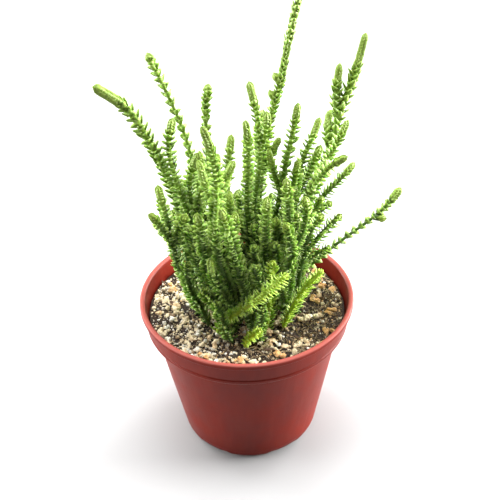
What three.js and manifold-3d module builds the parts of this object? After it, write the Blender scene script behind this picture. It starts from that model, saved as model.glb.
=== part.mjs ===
// A watch chain plant in a four inch plastic nursery pot.
// Millimetres, +Z up. The origin is the middle of the pot's underside, and -Y is the front.

import * as THREE from "three";
import { mergeVertices } from "three/addons/utils/BufferGeometryUtils.js";
import Module from "manifold-3d";

const wasm = await Module();
wasm.setup();

// Pot: thin moulded plastic, a straight taper under a rim band with a turned lip
const RIM_RADIUS = 52.5;
const POT_HEIGHT = 82;
const WALL = 1.6;
const LIP_HEIGHT = 2.6;
const LIP_OVERHANG = 1.1;
const BAND_HEIGHT = 14.2;
const BAND_FOOT_RADIUS = 50.3;
const BAND_BEVEL = 1.8;
const BODY_TOP_RADIUS = 46.8;
const BASE_RADIUS = 35.8;
const BASE_CORNER = 4;
const POT_SIDES = 36;

// Drainage: channels under the floor that run out through the foot, a hole in each
const CHANNEL_COUNT = 6;
const CHANNEL_HEIGHT = 2.1;
const CHANNEL_START_RADIUS = 22;
const CHANNEL_ANGLE = 25;
const FIRST_CHANNEL_ANGLE = 27;
const DRAIN_HOLE_RADIUS = 2.75;
const DRAIN_HOLE_PLACE = 28;
const FLOOR_TOP = CHANNEL_HEIGHT + WALL;

// Soil: fills the pot to below the lip, with stones in its surface and a hole for each stem
const GAP = 0.3;
const SOIL_TOP = 73;
const SOIL_SIDES = 28;
const SOIL_RINGS = [9, 18, 27, 34, 40];
const SOIL_ROUGHNESS = 0.55;
const STONE_COUNT = 22;
const STONE_SMALLEST = 1.6;
const STONE_LARGEST = 2.8;
const HOLE_RADIUS = 2.25;

// Stems: a square core with a pair of scale leaves at each level, each pair turned a quarter
const CORE_RADIUS = 1.85;
const FOOT_RADIUS = 1.2;
const LEAF_REACH = 3.7;
const YOUNG_LEAF_REACH = 2.5;
const YOUNG_FROM = 135;
const YOUNG_AT = 190;
const LEAF_LEVEL = 4.7;
const LEAF_TURN = 0.7;
const BRANCH_TURN = 0.4;
const LEAF_RISE = 1.2;
const STEM_FOOT = 63;
const STEM_BENDS_FROM = 75.3;
const LEAVES_FROM = 76;
const CLUB_LEVELS = 3;
const CLUB_CROWDING = 0.62;
const CLUB_CORE = [0.9, 1.2, 1.2];
const CLUB_REACH = [0.8, 0.8, 0.92];
const TIP_HEIGHT = 2;
const LEAST_REACH = 1.9;
const REACH_STEP = 0.15;
const ABOVE_SOIL = 1.4;
const ROUTE_CHECK_STEP = 1.2;

// Bending clear: routes are sampled at this step and pushed apart over this many rounds
const ROUTE_STEP = 4;
const ROUNDING_PASSES = 5;
const CLEARING_ROUNDS = 90;
const SHIFT_SMOOTHING = 2;
const STEMS_APART = 5.6;
const LEAF_GAP = 0.45;
const HELD_POINTS = 4;
const FREE_OF_PARENT = 3;

const POT_COLOUR = 0x9c4437;
const SOIL_COLOUR = 0x4a3a2c;
const LEAF_COLOUR = 0x6f9f3c;

// Each stem: its place in the soil, then points up to its tip. A branch starts on its stem at a
// height. A reach is given where the leaves stand out more or less than usual.
const STEMS = [
  // Small bright shoot at the front
  { root: [-1, -29], points: [[0, -30, 79], [6, -33, 87]] },
  // Low stem that leans across the front to the right
  {
    root: [-14, -20],
    reach: 4.3,
    points: [[-9, -24, 85], [0, -28, 96], [10, -31, 107], [18, -33, 117]],
  },
  // Foreground stem that curls up and to the left
  {
    root: [-6, -19],
    points: [[-8, -22, 92], [-11, -25, 110], [-13, -28, 128], [-12, -31, 146], [-10, -35, 163],
      [-11, -38, 180], [-14, -40, 190]],
    branches: [
      { from: 92, points: [[-14, -28, 110], [-15, -31, 125]] },
      { from: 146, points: [[-15, -29, 160], [-17, -28, 170]] },
    ],
  },
  // Pale stem whose round tip leans at the viewer
  { root: [2, -21], points: [[0, -24, 95], [-4, -28, 120], [-7, -34, 143], [-9, -39, 154]] },
  { root: [9, -20], points: [[10, -22, 90], [11, -24, 106], [12, -26, 119]] },
  { root: [17.5, -18], points: [[18, -18, 79], [23, -18, 89], [28, -18, 100], [35, -18, 107]] },
  // Left stem with three short branches
  {
    root: [-19, -13],
    points: [[-25, -14, 91], [-31, -17, 113], [-33, -19, 134], [-34, -20, 144], [-35, -20, 155]],
    branches: [
      { from: 84, points: [[-27, -19, 100], [-26, -22, 117]] },
      { from: 120, points: [[-28, -20, 133], [-24, -24, 143]] },
      { from: 124, points: [[-35, -23, 138], [-39, -26, 145]] },
    ],
  },
  {
    root: [-11, -12],
    points: [[-14, -17, 95], [-18, -22, 115], [-18, -26, 131], [-19, -30, 147]],
    branches: [{ from: 84, points: [[-17, -22, 97], [-20, -26, 104]] }],
  },
  { root: [-3, -12], points: [[-5, -13, 100], [-8, -13, 125], [-8, -13, 138], [-6, -13, 147]] },
  { root: [4, -13], points: [[1, -17, 95], [-3, -21, 115], [-6, -24, 133], [-3, -26, 144]] },
  { root: [10, -13], points: [[9, -15, 95], [9, -18, 115], [9, -20, 135], [10, -22, 149]] },
  {
    root: [18, -10],
    points: [[19, -12, 95], [20, -14, 120], [19, -16, 141], [18, -20, 156]],
    branches: [
      { from: 100, points: [[20, -20, 116], [20, -25, 130], [17, -27, 139]] },
      { from: 112, points: [[26, -17, 128], [28, -18, 138], [26, -18, 146]] },
    ],
  },
  // Long stem that arches out to the left
  {
    root: [-17, -4],
    points: [[-20, -3, 92], [-24, -2, 112], [-28, -1, 134], [-31, -4, 147], [-35, -9, 165],
      [-38, -12, 173], [-43, -17, 189], [-49, -20, 194], [-54, -24, 200]],
  },
  {
    root: [-9, -4],
    points: [[-15, -5, 105], [-22, -6, 125], [-27, -7, 142], [-29, -9, 156], [-31, -10, 169],
      [-27, -10, 180]],
  },
  {
    root: [-1, -5],
    points: [[-4, -8, 100], [-8, -13, 125], [-9, -16, 144], [-7, -20, 156], [-3, -22, 166]],
    branches: [{ from: 122, points: [[-7, -6, 140], [-5, -2, 158], [-4, 0, 167]] }],
  },
  { root: [7, -5], points: [[4, -6, 105], [1, -6, 135], [3, -7, 156], [3, -7, 168], [2, -8, 177]] },
  {
    root: [15, -3],
    points: [[20, -3, 105], [26, -3, 125], [31, -2, 140], [36, 0, 151], [42, 2, 161], [46, 4, 170]],
    branches: [{ from: 136, points: [[33, -7, 150], [39, -10, 158], [44, -12, 161]] }],
  },
  {
    root: [24, -8],
    points: [[25, -8, 88], [25, -8, 105], [30, -7, 113], [37, -6, 121], [44, -6, 129]],
    branches: [{ from: 107, points: [[28, -10, 123], [35, -12, 133]] }],
  },
  {
    root: [-17, 5],
    points: [[-20, 2, 100], [-23, -2, 125], [-24, -6, 149], [-18, -8, 163]],
    branches: [{ from: 126, points: [[-20, -8, 140], [-16, -12, 150]] }],
  },
  // Chain-like stem, straight up
  {
    root: [-9, 4],
    reach: 2.9,
    points: [[-12, 5, 110], [-15, 6, 140], [-15, 6, 167], [-15, 7, 175], [-13, 10, 186]],
  },
  {
    root: [-1, 3],
    points: [[2, 3, 110], [6, 2, 138], [9, 3, 160], [8, 4, 172], [6, 5, 179], [4, 6, 188]],
    branches: [{ from: 156, points: [[12, 1, 168], [11, 0, 177]] }],
  },
  {
    root: [7, 3],
    points: [[12, 5, 110], [17, 7, 132], [20, 8, 152], [23, 9, 162], [25, 10, 176]],
    branches: [{ from: 132, points: [[15, 9, 146], [15, 10, 155]] }],
  },
  {
    root: [16, 5],
    points: [[20, 7, 105], [25, 9, 128], [28, 10, 147], [33, 12, 159], [35, 14, 167]],
    branches: [{ from: 126, points: [[24, 5, 140], [25, 4, 152]] }],
  },
  { root: [25, 1], points: [[25, 3, 86], [27, 2, 98], [32, 0, 104], [41, 0, 107]] },
  {
    root: [24, 7],
    points: [[27, 8, 100], [31, 9, 118], [37, 10, 130], [45, 12, 136], [52, 14, 144]],
    branches: [{ from: 112, points: [[34, 5, 124], [41, 5, 129]] }],
  },
  // Chain-like stem that leans out to the upper left
  {
    root: [-13, 11],
    reach: 2.9,
    points: [[-17, 10, 110], [-21, 9, 138], [-23, 9, 155], [-25, 11, 165], [-29, 12, 176],
      [-33, 14, 186], [-38, 16, 198]],
  },
  // Tallest stem, slender at the top, with two side shoots and two buds
  {
    root: [3, 11],
    points: [[6, 12, 110], [9, 13, 135], [12, 13, 155], [13, 15, 166], [16, 16, 175],
      [19, 18, 183], [20, 20, 194], [23, 21, 206], [26, 22, 219], [29, 23, 227]],
    branches: [
      { from: 144, points: [[8, 11, 161], [10, 11, 173]] },
      { from: 140, points: [[14, 10, 152], [19, 10, 159]] },
      { from: 172, points: [[13, 18, 179]] },
      { from: 180, points: [[15, 20, 186]] },
    ],
  },
  // Tall stem that leans out to the upper right
  {
    root: [11, 11],
    points: [[18, 13, 105], [27, 14, 125], [37, 15, 146], [42, 18, 159], [44, 20, 169],
      [49, 22, 178], [52, 24, 188], [55, 26, 200]],
    branches: [
      { from: 165, points: [[42, 21, 177], [44, 23, 188]] },
      { from: 152, points: [[37, 20, 160], [41, 24, 166]] },
    ],
  },
  // Stem that leans out over the lip on the right
  {
    root: [20, 12],
    reach: 2.9,
    points: [[29, 12, 84], [38, 12, 93], [47, 12, 102], [59, 12, 112], [67, 12, 119], [74, 12, 131]],
    branches: [{ from: 115, points: [[68, 9, 116]] }],
  },
  { root: [12, 18], points: [[18, 17, 100], [26, 14, 125], [32, 8, 147], [35, 7, 157]] },
  // Stems at the back of the clump
  { root: [-5, 11], points: [[-7, 12, 90], [-10, 13, 110], [-12, 15, 135], [-11, 16, 150]] },
  { root: [-5, 18], points: [[-9, 21, 95], [-14, 24, 115], [-18, 26, 133], [-20, 27, 146]] },
  { root: [4, 19], points: [[5, 22, 98], [5, 25, 118], [4, 27, 136]] },
  { root: [-20, 13], points: [[-23, 16, 92], [-26, 19, 108], [-30, 22, 122]] },
  { root: [-12, 18], points: [[-16, 21, 95], [-22, 25, 113], [-27, 27, 130]] },
  { root: [20, 18], points: [[25, 20, 95], [30, 22, 113], [34, 24, 130]] },
  // Shorter stems that fill the clump
  { root: [-24, -5], points: [[-28, -6, 92], [-31, -8, 108], [-32, -9, 121]] },
  { root: [-24, 4], points: [[-27, 5, 95], [-30, 5, 113], [-33, 4, 128]] },
  { root: [-8, -26], points: [[-11, -27, 88], [-14, -30, 101]] },
  { root: [5, -27], points: [[5, -28, 86], [6, -30, 98]] },
  { root: [13, -8], points: [[15, -10, 98], [15, -13, 118], [14, -15, 134]] },
  { root: [-6, -8], points: [[-10, -9, 98], [-15, -12, 118], [-20, -14, 134]] },
  { root: [20, -2], points: [[23, -2, 98], [29, 0, 118], [36, 2, 134]] },
  { root: [-14, -8.3], points: [[-19, -9, 98], [-25, -11, 118], [-29, -13, 137]] },
];

// A number between 0 and 1 for each whole number, always the same.
function chance(index) {
  const wave = Math.sin(index * 12.9898 + 4.1414) * 43758.5453;
  return wave - Math.floor(wave);
}

// Solids

// A closed geometry as a solid that can be joined and cut.
function solidFrom(geometry) {
  const bare = new THREE.BufferGeometry();
  bare.setAttribute("position", geometry.getAttribute("position"));
  bare.setIndex(geometry.index);
  const merged = mergeVertices(bare, 1e-4);
  const corners = merged.index.array;
  const kept = [];
  for (let i = 0; i < corners.length; i += 3) {
    const [a, b, c] = [corners[i], corners[i + 1], corners[i + 2]];
    if (a !== b && b !== c && c !== a) kept.push(a, b, c);
  }
  return new wasm.Manifold(
    new wasm.Mesh({
      numProp: 3,
      vertProperties: merged.getAttribute("position").array,
      triVerts: new Uint32Array(kept),
    }),
  );
}

// A solid as a geometry again.
function geometryFrom(solid) {
  const mesh = solid.getMesh();
  const geometry = new THREE.BufferGeometry();
  const position = new Float32Array(mesh.numVert * 3);
  for (let i = 0; i < mesh.numVert; i++) {
    const start = i * mesh.numProp;
    position.set(mesh.vertProperties.subarray(start, start + 3), i * 3);
  }
  geometry.setAttribute("position", new THREE.BufferAttribute(position, 3));
  geometry.setIndex(new THREE.BufferAttribute(mesh.triVerts, 1));
  geometry.computeVertexNormals();
  return geometry;
}

function namedMesh(name, geometry, colour, roughness) {
  const material = new THREE.MeshStandardMaterial({ color: colour, roughness, metalness: 0 });
  material.flatShading = true;
  const mesh = new THREE.Mesh(geometry, material);
  mesh.name = name;
  return mesh;
}

// A round body from its profile of [radius, height] points.
function turned(profile, sides) {
  const points = profile.map(([radius, height]) => new THREE.Vector2(radius, height));
  const lathe = new THREE.LatheGeometry(points, sides);
  lathe.rotateX(Math.PI / 2);
  return lathe;
}

// Points of a round corner, from one angle to another in degrees.
function cornerPoints(centre, radius, from, to, count) {
  return Array.from({ length: count + 1 }, (_, i) => {
    const angle = THREE.MathUtils.degToRad(from + ((to - from) * i) / count);
    return [centre[0] + radius * Math.cos(angle), centre[1] + radius * Math.sin(angle)];
  });
}

// An upright cylinder or prism standing at a place.
function upright(x, y, radius, bottom, top, sides, turn = 0) {
  const prism = new THREE.CylinderGeometry(radius, radius, top - bottom, sides);
  prism.rotateX(Math.PI / 2);
  prism.rotateZ(turn);
  prism.translate(x, y, (bottom + top) / 2);
  return solidFrom(prism);
}

// Pot

const bandFoot = POT_HEIGHT - BAND_HEIGHT;
const bandTopRadius = RIM_RADIUS - LIP_OVERHANG;
const shelfHeight = bandFoot + WALL;
const bodyTaper = (BODY_TOP_RADIUS - BASE_RADIUS) / bandFoot;

// Outer radius of the straight body at a height.
function bodyRadius(height) {
  return BASE_RADIUS + bodyTaper * height;
}

function potProfile() {
  const cornerTop = BASE_CORNER * 1.06;
  return [
    [0, 0],
    ...cornerPoints([BASE_RADIUS - BASE_CORNER + 0.3, BASE_CORNER], BASE_CORNER, -90, -9, 4),
    [bodyRadius(cornerTop), cornerTop],
    [BODY_TOP_RADIUS, bandFoot],
    ...cornerPoints([BAND_FOOT_RADIUS - BAND_BEVEL, bandFoot + BAND_BEVEL], BAND_BEVEL, -90, 0, 3),
    [bandTopRadius, POT_HEIGHT - LIP_HEIGHT],
    [RIM_RADIUS, POT_HEIGHT - LIP_HEIGHT + 0.4],
    [RIM_RADIUS, POT_HEIGHT - 0.7],
    [RIM_RADIUS - 0.7, POT_HEIGHT],
    [bandTopRadius - WALL, POT_HEIGHT],
    [BAND_FOOT_RADIUS - WALL, shelfHeight],
    [BODY_TOP_RADIUS - WALL, shelfHeight],
    [bodyRadius(FLOOR_TOP + 2.5) - WALL, FLOOR_TOP + 2.5],
    [bodyRadius(FLOOR_TOP) - WALL - 2.2, FLOOR_TOP],
    [0, FLOOR_TOP],
  ];
}

// One drainage channel: a sector that runs from the middle disc out past the foot.
function channel(middleAngle) {
  const half = THREE.MathUtils.degToRad(CHANNEL_ANGLE / 2);
  const outline = new THREE.Shape();
  outline.absarc(0, 0, BASE_RADIUS + 6, middleAngle - half, middleAngle + half, false);
  outline.absarc(0, 0, CHANNEL_START_RADIUS, middleAngle + half, middleAngle - half, true);
  outline.closePath();
  const sector = new THREE.ExtrudeGeometry(outline, {
    depth: CHANNEL_HEIGHT + 1,
    bevelEnabled: false,
    curveSegments: 3,
  });
  sector.translate(0, 0, -1);
  return solidFrom(sector);
}

function makePot() {
  let pot = solidFrom(turned(potProfile(), POT_SIDES));
  for (let i = 0; i < CHANNEL_COUNT; i++) {
    const fromFront = FIRST_CHANNEL_ANGLE + (i * 360) / CHANNEL_COUNT;
    const angle = THREE.MathUtils.degToRad(fromFront - 90);
    const x = DRAIN_HOLE_PLACE * Math.cos(angle);
    const y = DRAIN_HOLE_PLACE * Math.sin(angle);
    pot = pot.subtract(channel(angle));
    pot = pot.subtract(upright(x, y, DRAIN_HOLE_RADIUS, 1, FLOOR_TOP + 1, 10));
  }
  return namedMesh("pot", geometryFrom(pot), POT_COLOUR, 0.45);
}

// Routes of the stems

// Points at equal steps along a line of points, with its corners rounded past the held points.
function steppedRoute(points, held) {
  const lengths = [0];
  for (let i = 1; i < points.length; i++) {
    lengths.push(lengths[i - 1] + points[i].distanceTo(points[i - 1]));
  }
  const total = lengths.at(-1);
  const count = Math.max(2, Math.round(total / ROUTE_STEP));
  let route = [];
  let piece = 1;
  for (let i = 0; i <= count; i++) {
    const along = (total * i) / count;
    while (piece < points.length - 1 && lengths[piece] < along) piece++;
    const share = (along - lengths[piece - 1]) / (lengths[piece] - lengths[piece - 1]);
    route.push(points[piece - 1].clone().lerp(points[piece], share));
  }
  for (let pass = 0; pass < ROUNDING_PASSES; pass++) route = averaged(route, held);
  return route;
}

// Each inner point halfway to the middle of its neighbours. The first held points stay.
function averaged(row, held) {
  return row.map((point, i) => {
    if (i < held || i === row.length - 1) return point.clone();
    const middle = row[i - 1].clone().add(row[i + 1]).multiplyScalar(0.5);
    return point.clone().lerp(middle, 0.5);
  });
}

const asPoint = ([x, y, z]) => new THREE.Vector3(x, y, z);

// All stems and branches as routes, a branch after its stem, with their leaf reach.
function allRoutes() {
  const routes = [];
  STEMS.forEach(({ root, points, branches = [], reach = LEAF_REACH }, plant) => {
    const [x, y] = root;
    const line = [[x, y, STEM_FOOT], [x, y, STEM_BENDS_FROM], ...points].map(asPoint);
    const held = HELD_POINTS;
    const stem = { plant, reach, base: steppedRoute(line, held), held };
    routes.push(stem);
    for (const branch of branches) {
      const heights = stem.base.map((point) => Math.abs(point.z - branch.from));
      const joint = heights.indexOf(Math.min(...heights));
      const branchLine = [stem.base[joint], ...branch.points.map(asPoint)];
      routes.push({ plant, reach, base: steppedRoute(branchLine, 1), held: 1, stem, joint });
    }
  });
  for (const route of routes) route.shift = route.base.map(() => new THREE.Vector3());
  return routes;
}

// How far apart two routes of points have to stay. Own branches count only once they are free.
function clearance(a, i, b, j) {
  if (a.plant !== b.plant) return STEMS_APART;
  const free = (a.stem ? i : j) >= FREE_OF_PARENT && (b.stem ? j : i) >= FREE_OF_PARENT;
  return free ? STEMS_APART * 0.8 : 0;
}

// Bends the stems clear of each other, little by little, while their feet stay in place.
function bendClear(routes) {
  for (let round = 0; round < CLEARING_ROUNDS; round++) {
    const placed = routes.map(({ base, shift }) => base.map((p, i) => p.clone().add(shift[i])));
    routes.forEach((a, m) => {
      for (let n = m + 1; n < routes.length; n++) {
        const b = routes[n];
        placed[m].forEach((p, i) => {
          placed[n].forEach((q, j) => {
            const apart = p.distanceTo(q);
            const short = clearance(a, i, b, j) - apart;
            if (short <= 0 || apart < 0.01) return;
            const push = p.clone().sub(q).multiplyScalar((0.35 * short) / apart);
            a.shift[i].add(push);
            b.shift[j].sub(push);
          });
        });
      }
    });
    for (const route of routes) {
      const first = route.stem ? route.stem.shift[route.joint] : new THREE.Vector3();
      for (let i = 0; i < route.held; i++) route.shift[i].copy(first);
      for (let pass = 0; pass < SHIFT_SMOOTHING; pass++) {
        route.shift = averaged(route.shift, route.held);
      }
    }
  }
  for (const route of routes) route.points = route.base.map((p, i) => p.clone().add(route.shift[i]));
}

// Leafy stems

// Distances along a route at which the rings of the core stand.
function ringPlaces(length, leavesFrom) {
  const leafy = length - leavesFrom - TIP_HEIGHT;
  const count = Math.max(2, Math.round(leafy / LEAF_LEVEL + CLUB_LEVELS * (1 - CLUB_CROWDING)));
  const weights = Array.from({ length: count }, (_, i) =>
    i >= count - CLUB_LEVELS ? CLUB_CROWDING : 1,
  );
  const total = weights.reduce((sum, weight) => sum + weight, 0);
  const places = [0, leavesFrom];
  for (const weight of weights) places.push(places.at(-1) + (leafy * weight) / total);
  return places;
}

// How far the leaves reach at a height: young leaves high on a long stem are small.
function reachAt(height, fullReach) {
  const youth = THREE.MathUtils.smoothstep(height, YOUNG_FROM, YOUNG_AT);
  return fullReach + (Math.min(YOUNG_LEAF_REACH, fullReach) - fullReach) * youth;
}

// The tip of a leaf, as far out as it can stand with room to spare for the neighbours and the soil.
function leafTip(ring, angle, rise, reach, neighbours) {
  for (let out = reach; ; out -= REACH_STEP) {
    const tip = ring.centre.clone().addScaledVector(ring.along, rise);
    tip.addScaledVector(ring.side, out * Math.cos(angle));
    tip.addScaledVector(ring.other, out * Math.sin(angle));
    const crowded = neighbours.some((point) => point.distanceTo(tip) < out + LEAF_GAP);
    const low = tip.z < SOIL_TOP + ABOVE_SOIL;
    if ((!crowded && !low) || out - REACH_STEP < LEAST_REACH) return tip;
  }
}

// One leafy stem or branch: four corners at each ring, and between two rings a pair of leaves.
function leafyStem(route, leavesFrom, turn, neighbours) {
  const curve = new THREE.CatmullRomCurve3(route.points);
  const length = curve.getLength();
  const places = ringPlaces(length, leavesFrom);
  const last = places.length - 1;
  const position = [];
  const index = [];
  const add = (point) => position.push(point.x, point.y, point.z) / 3 - 1;
  const side = new THREE.Vector3(Math.cos(turn), Math.sin(turn), 0);
  const rings = places.map((place, k) => {
    const centre = curve.getPointAt(Math.min(1, place / length));
    const along = curve.getTangentAt(Math.min(1, place / length));
    side.addScaledVector(along, -side.dot(along)).normalize();
    const other = along.clone().cross(side);
    const buried = k === 0 && !route.stem;
    const radius = buried ? FOOT_RADIUS : CORE_RADIUS * (CLUB_CORE[last - k] ?? 1);
    const corners = [0, 1, 2, 3].map((corner) => {
      const angle = Math.PI / 4 + (corner * Math.PI) / 2;
      const point = centre.clone();
      point.addScaledVector(side, radius * Math.cos(angle));
      point.addScaledVector(other, radius * Math.sin(angle));
      return add(point);
    });
    return { centre, along, side: side.clone(), other, corners };
  });
  index.push(0, 2, 1, 0, 3, 2);
  for (let k = 0; k < last; k++) {
    const [low, high] = [rings[k], rings[k + 1]];
    const pitch = high.centre.distanceTo(low.centre);
    for (let face = 0; face < 4; face++) {
      const [a, b] = [low.corners[face], low.corners[(face + 1) % 4]];
      const [c, d] = [high.corners[(face + 1) % 4], high.corners[face]];
      const leafHere = k > 0 && face % 2 === k % 2;
      if (!leafHere) {
        index.push(a, b, c, a, c, d);
        continue;
      }
      const reach = reachAt(low.centre.z, route.reach) * (CLUB_REACH[last - k] ?? 1);
      const angle = ((face + 1) * Math.PI) / 2;
      const apex = add(leafTip(low, angle, pitch * LEAF_RISE, reach, neighbours));
      index.push(a, b, apex, b, c, apex, c, d, apex, d, a, apex);
    }
  }
  const top = rings[last];
  const apex = add(top.centre.clone().addScaledVector(top.along, TIP_HEIGHT));
  top.corners.forEach((corner, i) => index.push(corner, top.corners[(i + 1) % 4], apex));
  const geometry = new THREE.BufferGeometry();
  geometry.setAttribute("position", new THREE.BufferAttribute(new Float32Array(position), 3));
  geometry.setIndex(index);
  return solidFrom(geometry);
}

function makeStems(routes) {
  for (const route of routes) {
    const curve = new THREE.CatmullRomCurve3(route.points);
    route.checks = curve.getSpacedPoints(Math.ceil(curve.getLength() / ROUTE_CHECK_STEP));
  }
  return STEMS.map((_, plant) => {
    const own = routes.filter((route) => route.plant === plant);
    const neighbours = routes.filter((route) => route.plant !== plant).flatMap((r) => r.checks);
    const grown = own.map((route, i) => {
      const leavesFrom = route.stem ? CORE_RADIUS + 1 : LEAVES_FROM - STEM_FOOT;
      return leafyStem(route, leavesFrom, plant * LEAF_TURN + i * BRANCH_TURN, neighbours);
    });
    const joined = grown.reduce((whole, branch) => whole.add(branch));
    const name = "stem_" + String(plant + 1).padStart(2, "0");
    return namedMesh(name, geometryFrom(joined), LEAF_COLOUR, 0.5);
  });
}

// Soil

// Height of the soil's surface, a little uneven.
function soilHeight(x, y) {
  const wave = Math.sin(x * 0.31 + 1.2) * Math.cos(y * 0.27) + Math.sin(x * 0.83 + y * 0.59);
  return SOIL_TOP + SOIL_ROUGHNESS * wave * 0.7;
}

function soilPlug() {
  const bottom = FLOOR_TOP + GAP;
  const shelf = shelfHeight + GAP;
  const rim = BAND_FOOT_RADIUS - WALL - GAP;
  const profile = [
    [0, bottom],
    [bodyRadius(bottom) - WALL - GAP - 2.6, bottom],
    [bodyRadius(bottom + 3) - WALL - GAP, bottom + 3],
    [BODY_TOP_RADIUS - WALL - GAP, shelf],
    [rim, shelf],
    [rim, SOIL_TOP],
    ...SOIL_RINGS.map((radius) => [radius, SOIL_TOP]).reverse(),
    [0, SOIL_TOP],
  ];
  const plug = turned(profile, SOIL_SIDES);
  const position = plug.getAttribute("position");
  for (let i = 0; i < position.count; i++) {
    if (position.getZ(i) < SOIL_TOP - 0.01) continue;
    position.setZ(i, soilHeight(position.getX(i), position.getY(i)));
  }
  return solidFrom(plug);
}

// Stones lie half sunk in the surface, thickest round the clump, and none touches a stem.
function addStones(soil, routes) {
  const stemPoints = routes.flatMap((route) => route.points.filter((p) => p.z < SOIL_TOP + 14));
  let placed = 0;
  for (let draw = 0; placed < STONE_COUNT; draw++) {
    const radius = STONE_SMALLEST + (STONE_LARGEST - STONE_SMALLEST) * chance(draw * 7 + 1) ** 2;
    const angle = 2 * Math.PI * chance(draw * 7 + 2);
    const away = 46 * Math.sqrt(chance(draw * 7 + 3));
    const x = away * Math.cos(angle);
    const y = away * Math.sin(angle);
    const centre = new THREE.Vector3(x, y, soilHeight(x, y));
    const clear = radius + LEAF_REACH + 0.8;
    if (stemPoints.some((point) => point.distanceTo(centre) < clear)) continue;
    const stone = new THREE.IcosahedronGeometry(radius, 0);
    stone.rotateX(6 * chance(draw * 7 + 4));
    stone.rotateZ(6 * chance(draw * 7 + 5));
    stone.scale(1, 0.75 + 0.25 * chance(draw * 7 + 6), 0.8);
    stone.translate(x, y, centre.z + radius * 0.15);
    soil = soil.add(solidFrom(stone));
    placed++;
  }
  return soil;
}

function makeSoil(routes) {
  let soil = addStones(soilPlug(), routes);
  STEMS.forEach(({ root: [x, y] }, plant) => {
    const turn = plant * LEAF_TURN + Math.PI / 4;
    soil = soil.subtract(upright(x, y, HOLE_RADIUS, STEM_FOOT - GAP, SOIL_TOP + 8, 4, turn));
  });
  return namedMesh("soil", geometryFrom(soil), SOIL_COLOUR, 0.95);
}

const routes = allRoutes();
bendClear(routes);

const plant = new THREE.Group();
plant.add(makePot(), makeSoil(routes), ...makeStems(routes));

export default plant;
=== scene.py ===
# A watch chain plant in a small plastic nursery pot, built up as it was potted: the moulded pot,
# the gritty mix in it, the leafy stems that stand in the mix, and the studio round it.

import math

import bpy
import numpy as np
from mathutils import Matrix, Vector


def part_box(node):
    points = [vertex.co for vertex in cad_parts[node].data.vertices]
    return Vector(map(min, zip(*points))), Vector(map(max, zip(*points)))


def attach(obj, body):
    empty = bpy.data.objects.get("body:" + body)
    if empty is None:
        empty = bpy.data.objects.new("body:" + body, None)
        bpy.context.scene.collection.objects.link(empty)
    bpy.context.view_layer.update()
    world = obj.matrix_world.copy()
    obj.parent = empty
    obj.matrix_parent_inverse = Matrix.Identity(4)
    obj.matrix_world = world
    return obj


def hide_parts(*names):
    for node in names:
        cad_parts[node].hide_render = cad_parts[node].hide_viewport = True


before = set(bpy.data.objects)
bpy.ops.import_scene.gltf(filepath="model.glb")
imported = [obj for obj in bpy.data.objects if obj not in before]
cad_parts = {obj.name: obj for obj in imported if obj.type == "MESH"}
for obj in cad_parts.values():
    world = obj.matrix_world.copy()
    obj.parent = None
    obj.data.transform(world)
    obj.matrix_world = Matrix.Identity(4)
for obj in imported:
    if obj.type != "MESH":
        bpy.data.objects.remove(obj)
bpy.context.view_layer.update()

# The pot is one thin injection moulding in terracotta-coloured plastic. It has a turned lip and a
# rim band over a straight tapered body, and its floor stands on feet with drainage channels
# between them, each with a hole. The mould leaves a soft sheen and faint draw marks.

MM = 0.001
pot_low, pot_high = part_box("pot")
RIM_RADIUS = (pot_high[0] - pot_low[0]) / 2
POT_HEIGHT = pot_high[2]
WALL = 1.6 * MM
LIP_HEIGHT = 2.6 * MM
BAND_TOP_RADIUS = RIM_RADIUS - 1.1 * MM
BAND_FOOT = POT_HEIGHT - 14.2 * MM
BAND_FOOT_RADIUS = RIM_RADIUS - 2.2 * MM
GROOVE_ABOVE_FOOT = 3.1 * MM
GROOVE_DEPTH = 0.35 * MM
BODY_TOP_RADIUS = RIM_RADIUS - 5.7 * MM
BASE_RADIUS = RIM_RADIUS - 16.7 * MM
BASE_CORNER = 4 * MM
BAND_CORNER = 1.8 * MM
BAND_FILLET = 0.5 * MM
LIP_UNDER_EDGE = 0.7 * MM
LIP_OUTER_EDGE = 0.8 * MM
LIP_INNER_EDGE = 1.3 * MM
FLOOR_TOP = 3.7 * MM
FLOOR_CORNER_HEIGHT = 2.5 * MM
FLOOR_CORNER_DEPTH = 2.2 * MM
CHANNEL_COUNT = 6
CHANNEL_HEIGHT = 2.1 * MM
CHANNEL_EDGE = 1.2 * MM
CHANNEL_MOUTH_RISE = 1.1 * MM
CHANNEL_MOUTH_DEPTH = 2 * MM
CHANNEL_START = 22 * MM
CHANNEL_ANGLE = math.radians(25)
FIRST_CHANNEL = math.radians(27 - 90)
DRAIN_HOLE_RADIUS = 2.75 * MM
DRAIN_HOLE_PLACE = 28 * MM
DRILL_SIDES = 32
POT_SIDES = 180
POT_STEP = 3 * MM
SHARP_ANGLE = math.radians(40)
POT_RED = (0.170, 0.012, 0.005)
POT_RED_PALE = (0.300, 0.045, 0.024)
POT_RED_DEEP = (0.130, 0.010, 0.005)
LIP_HIGHLIGHT = (0.330, 0.085, 0.068)


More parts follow.
